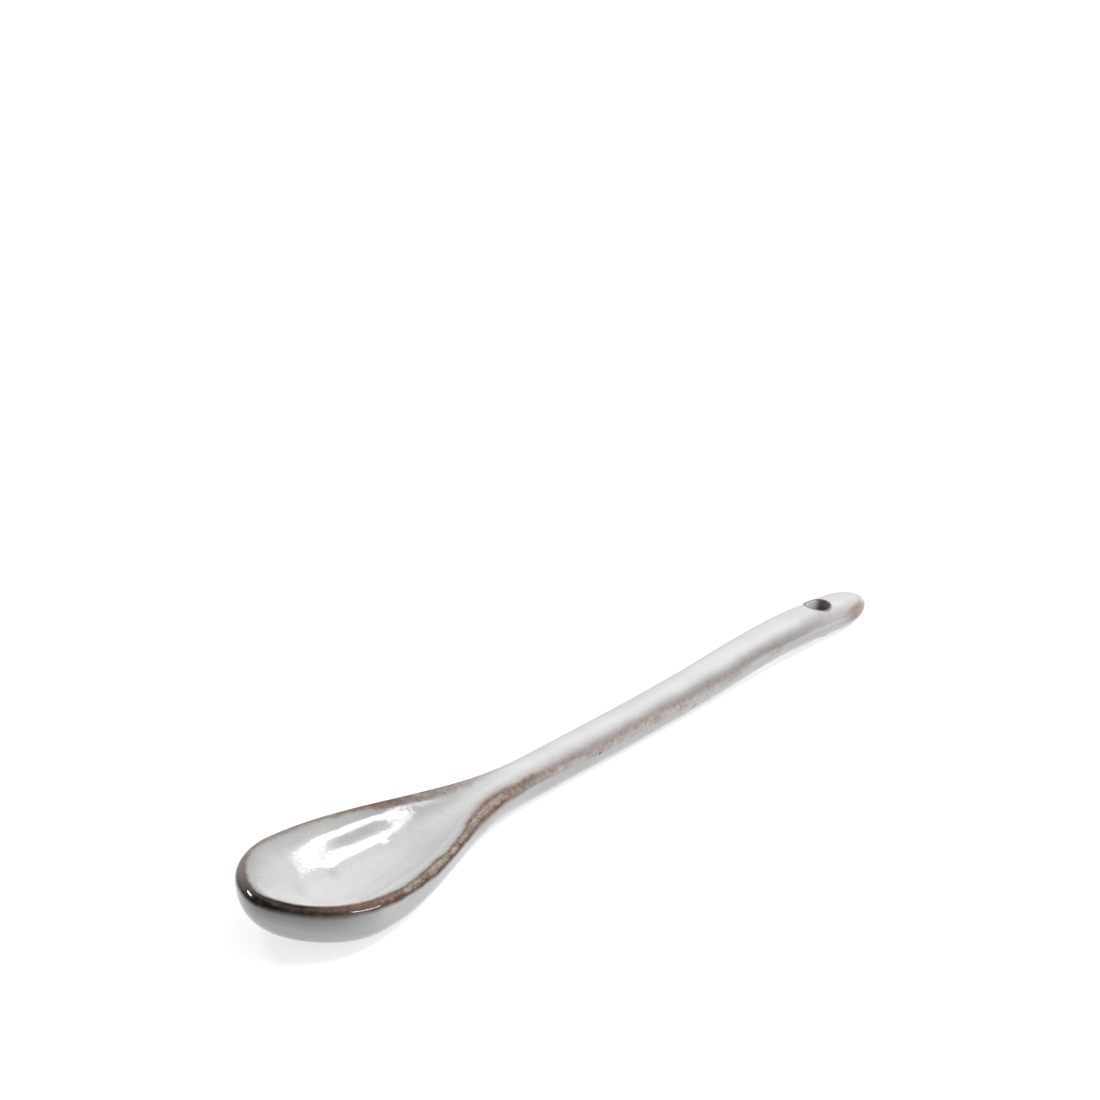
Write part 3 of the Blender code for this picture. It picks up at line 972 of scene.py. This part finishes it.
    def mouth_ring(self, ground):
        """Brown where the glaze turns over into the hole, darker on one side as painted shade, and a faint
        stain round it.
        """
        apart = self.flat_distance(HOLE_X - 0.5 * LENGTH, 0.0)
        stain = self.product(
            self.ease(apart, HOLE_RADIUS + STAIN_REACH, HOLE_RADIUS + STAIN_CORE, 0.0, STAIN_STRENGTH),
            self.ease(self.across, *STAIN_ACROSS_MM),
            self.ease(apart, HOLE_RADIUS - STAIN_WALL_FADE, HOLE_RADIUS + STAIN_WALL_FADE),
        )
        colour = self.mix(stain, ground, STAIN_BROWN)
        # The mark is partly a real brown line round the mouth and partly painted shade on one side of the
        # hole
        return self.mix(self.product(self.mark("mouth_brown_and_shade"), MOUTH_STRENGTH), colour, MOUTH_BROWN_AND_SHADE)

    def specks(self, ground):
        """Single dark specks."""
        for place, radius in SPECKS:
            apart = self.distance(self.place, place)
            spot = self.ease(apart, radius, SPOT_CORE * radius, 0.0, SPOT_STRENGTH)
            ground = self.mix(spot, ground, SPECK_BLACK)
        return ground

    def pinholes(self, ground):
        """Scattered pinholes, most of them in the bowl towards the neck."""
        cells = self.new("ShaderNodeTexVoronoi")
        self.feed(cells.inputs["Vector"], self.place)
        cells.inputs["Scale"].default_value = 1.0 / PINHOLE_SPACING
        radius = PINHOLE_RADIUS / PINHOLE_SPACING
        dots = self.ease(cells.outputs["Distance"], radius, SPOT_CORE * radius)
        in_bowl = self.product(self.ease(self.x, *PINHOLES_MORE_X), self.ease(self.x, *PINHOLES_LESS_X))
        often = self.math("ADD", self.product(in_bowl, PINHOLES_IN_BOWL), PINHOLES_ELSEWHERE)
        kept = self.math("GREATER_THAN", often, self.cell_number(cells))
        return self.mix(self.product(dots, kept, SPOT_STRENGTH), ground, PINHOLE_BROWN)

    def cell_number(self, cells):
        parts = self.new("ShaderNodeSeparateColor")
        self.feed(parts.inputs[0], cells.outputs["Color"])
        return parts.outputs[0]


def clay():
    """Fired clay, buff and speckled, bare only inside the hole."""
    finish = Finish("fired_clay")
    shades = list(zip(NOISE_MIDDLE, (CLAY_DARKER, CLAY_LIGHTER)))
    tone = finish.ramp(finish.grain(CLAY_PATCH_SIZE, detail=4.0), shades)
    specks = finish.ease(finish.grain(CLAY_SPECK_SIZE, shift=4.0), *CLAY_SPECK_LEVELS)
    finish.feed(finish.shader.inputs["Base Color"], finish.mix(specks, tone, CLAY_SPECK))
    shine = finish.ease(finish.grain(CLAY_SHINE_SIZE), *NOISE_MIDDLE, *CLAY_ROUGHNESS)
    finish.feed(finish.shader.inputs["Roughness"], shine)
    finish.relief(CLAY_RELIEF, CLAY_GRAIN_HEIGHT, finish.grain(CLAY_GRAIN_SIZE, detail=4.0))
    return finish.material


def level_axes():
    """Directions along the table, to the right in the view and away from the camera."""
    right = Vector((math.cos(CAMERA_TURN), -math.sin(CAMERA_TURN), 0.0))
    away = Vector((math.sin(CAMERA_TURN), math.cos(CAMERA_TURN), 0.0))
    return right, away


def add_camera():
    right, away = level_axes()
    ahead = away * math.cos(CAMERA_PITCH) - Vector((0.0, 0.0, math.sin(CAMERA_PITCH)))
    up = away * math.sin(CAMERA_PITCH) + Vector((0.0, 0.0, math.cos(CAMERA_PITCH)))
    middle = Vector((0.0, 0.0, SPOON_MIDDLE_HEIGHT))
    aim = middle - right * SPOON_RIGHT_OF_CENTRE + up * SPOON_BELOW_CENTRE
    data = bpy.data.cameras.new("camera")
    data.sensor_width = SENSOR_WIDTH
    data.lens = FOCAL_LENGTH
    data.clip_start = CLIP_START
    camera = bpy.data.objects.new("camera", data)
    axes = Matrix((right, up, -ahead)).transposed()
    camera.matrix_world = Matrix.Translation(aim - ahead * CAMERA_DISTANCE) @ axes.to_4x4()
    bpy.context.scene.collection.objects.link(camera)
    bpy.context.scene.camera = camera


def softbox(name, azimuth, elevation, width, height, roll, radiance, shape):
    """A soft lamp as it is seen from the spoon; all its places and sizes are angles."""
    right, away = level_axes()
    azimuth, elevation, width, height, roll = map(math.radians, (azimuth, elevation, width, height, roll))
    flat = away * math.cos(azimuth) + right * math.sin(azimuth)
    towards = flat * math.cos(elevation) + Vector((0.0, 0.0, math.sin(elevation)))
    sideways = away * math.sin(azimuth) - right * math.cos(azimuth)
    data = bpy.data.lights.new(name, "AREA")
    data.shape = shape
    data.size = 2.0 * LAMP_DISTANCE * math.tan(0.5 * width)
    data.size_y = 2.0 * LAMP_DISTANCE * math.tan(0.5 * height)
    filled = 0.25 * math.pi if shape == "ELLIPSE" else 1.0
    data.energy = radiance * math.pi * filled * data.size * data.size_y
    lamp = bpy.data.objects.new(name, data)
    axes = Matrix((sideways, towards.cross(sideways), towards)).transposed()
    axes = axes @ Matrix.Rotation(-roll, 3, "Z")
    lamp.matrix_world = Matrix.Translation(towards * LAMP_DISTANCE) @ axes.to_4x4()
    bpy.context.scene.collection.objects.link(lamp)


def add_floor():
    """A pale floor that looks white where the camera or a reflection sees it unshaded."""
    finish = Finish("pale_floor")
    mesh = bpy.data.meshes.new("floor")
    signs = ((-1, -1), (1, -1), (1, 1), (-1, 1))
    corners = [(FLOOR_HALF_WIDTH * x, FLOOR_HALF_WIDTH * y, 0.0) for x, y in signs]
    mesh.from_pydata(corners, [], [(0, 1, 2, 3)])
    finish.shader.inputs["Base Color"].default_value = (FLOOR_GREY, FLOOR_GREY, FLOOR_GREY, 1.0)
    finish.shader.inputs["Roughness"].default_value = 1.0
    finish.shader.inputs["Specular IOR Level"].default_value = 0.0
    finish.shader.inputs["Emission Color"].default_value = (1.0, 1.0, 1.0, 1.0)
    rays = finish.new("ShaderNodeLightPath").outputs
    seen = finish.math("MAXIMUM", rays["Is Camera Ray"], rays["Is Glossy Ray"])
    seen = finish.math("MAXIMUM", seen, rays["Is Transmission Ray"])
    finish.feed(finish.shader.inputs["Emission Strength"], finish.product(seen, FLOOR_LIFT))
    mesh.materials.append(finish.material)
    floor = bpy.data.objects.new("floor", mesh)
    bpy.context.scene.collection.objects.link(floor)


def set_world(level):
    world = bpy.data.worlds.new("studio")
    world.use_nodes = True
    world.node_tree.nodes["Background"].inputs["Color"].default_value = (level, level, level, 1.0)
    bpy.context.scene.world = world


materials = [(name, Glaze(slot, *looks).material) for name, node, slot, *looks in GLAZES]
for coat, (name, node, slot, *looks) in zip(glaze_pieces(materials), GLAZES):
    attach(coat, "root")
    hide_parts(node)
body = bpy.data.objects["stoneware_body"].data
body.materials.clear()
body.materials.append(clay())

add_floor()
set_world(WORLD_LEVEL)
for lamp in LAMPS:
    softbox(*lamp)
add_camera()
bpy.context.scene.view_settings.view_transform = "Standard"
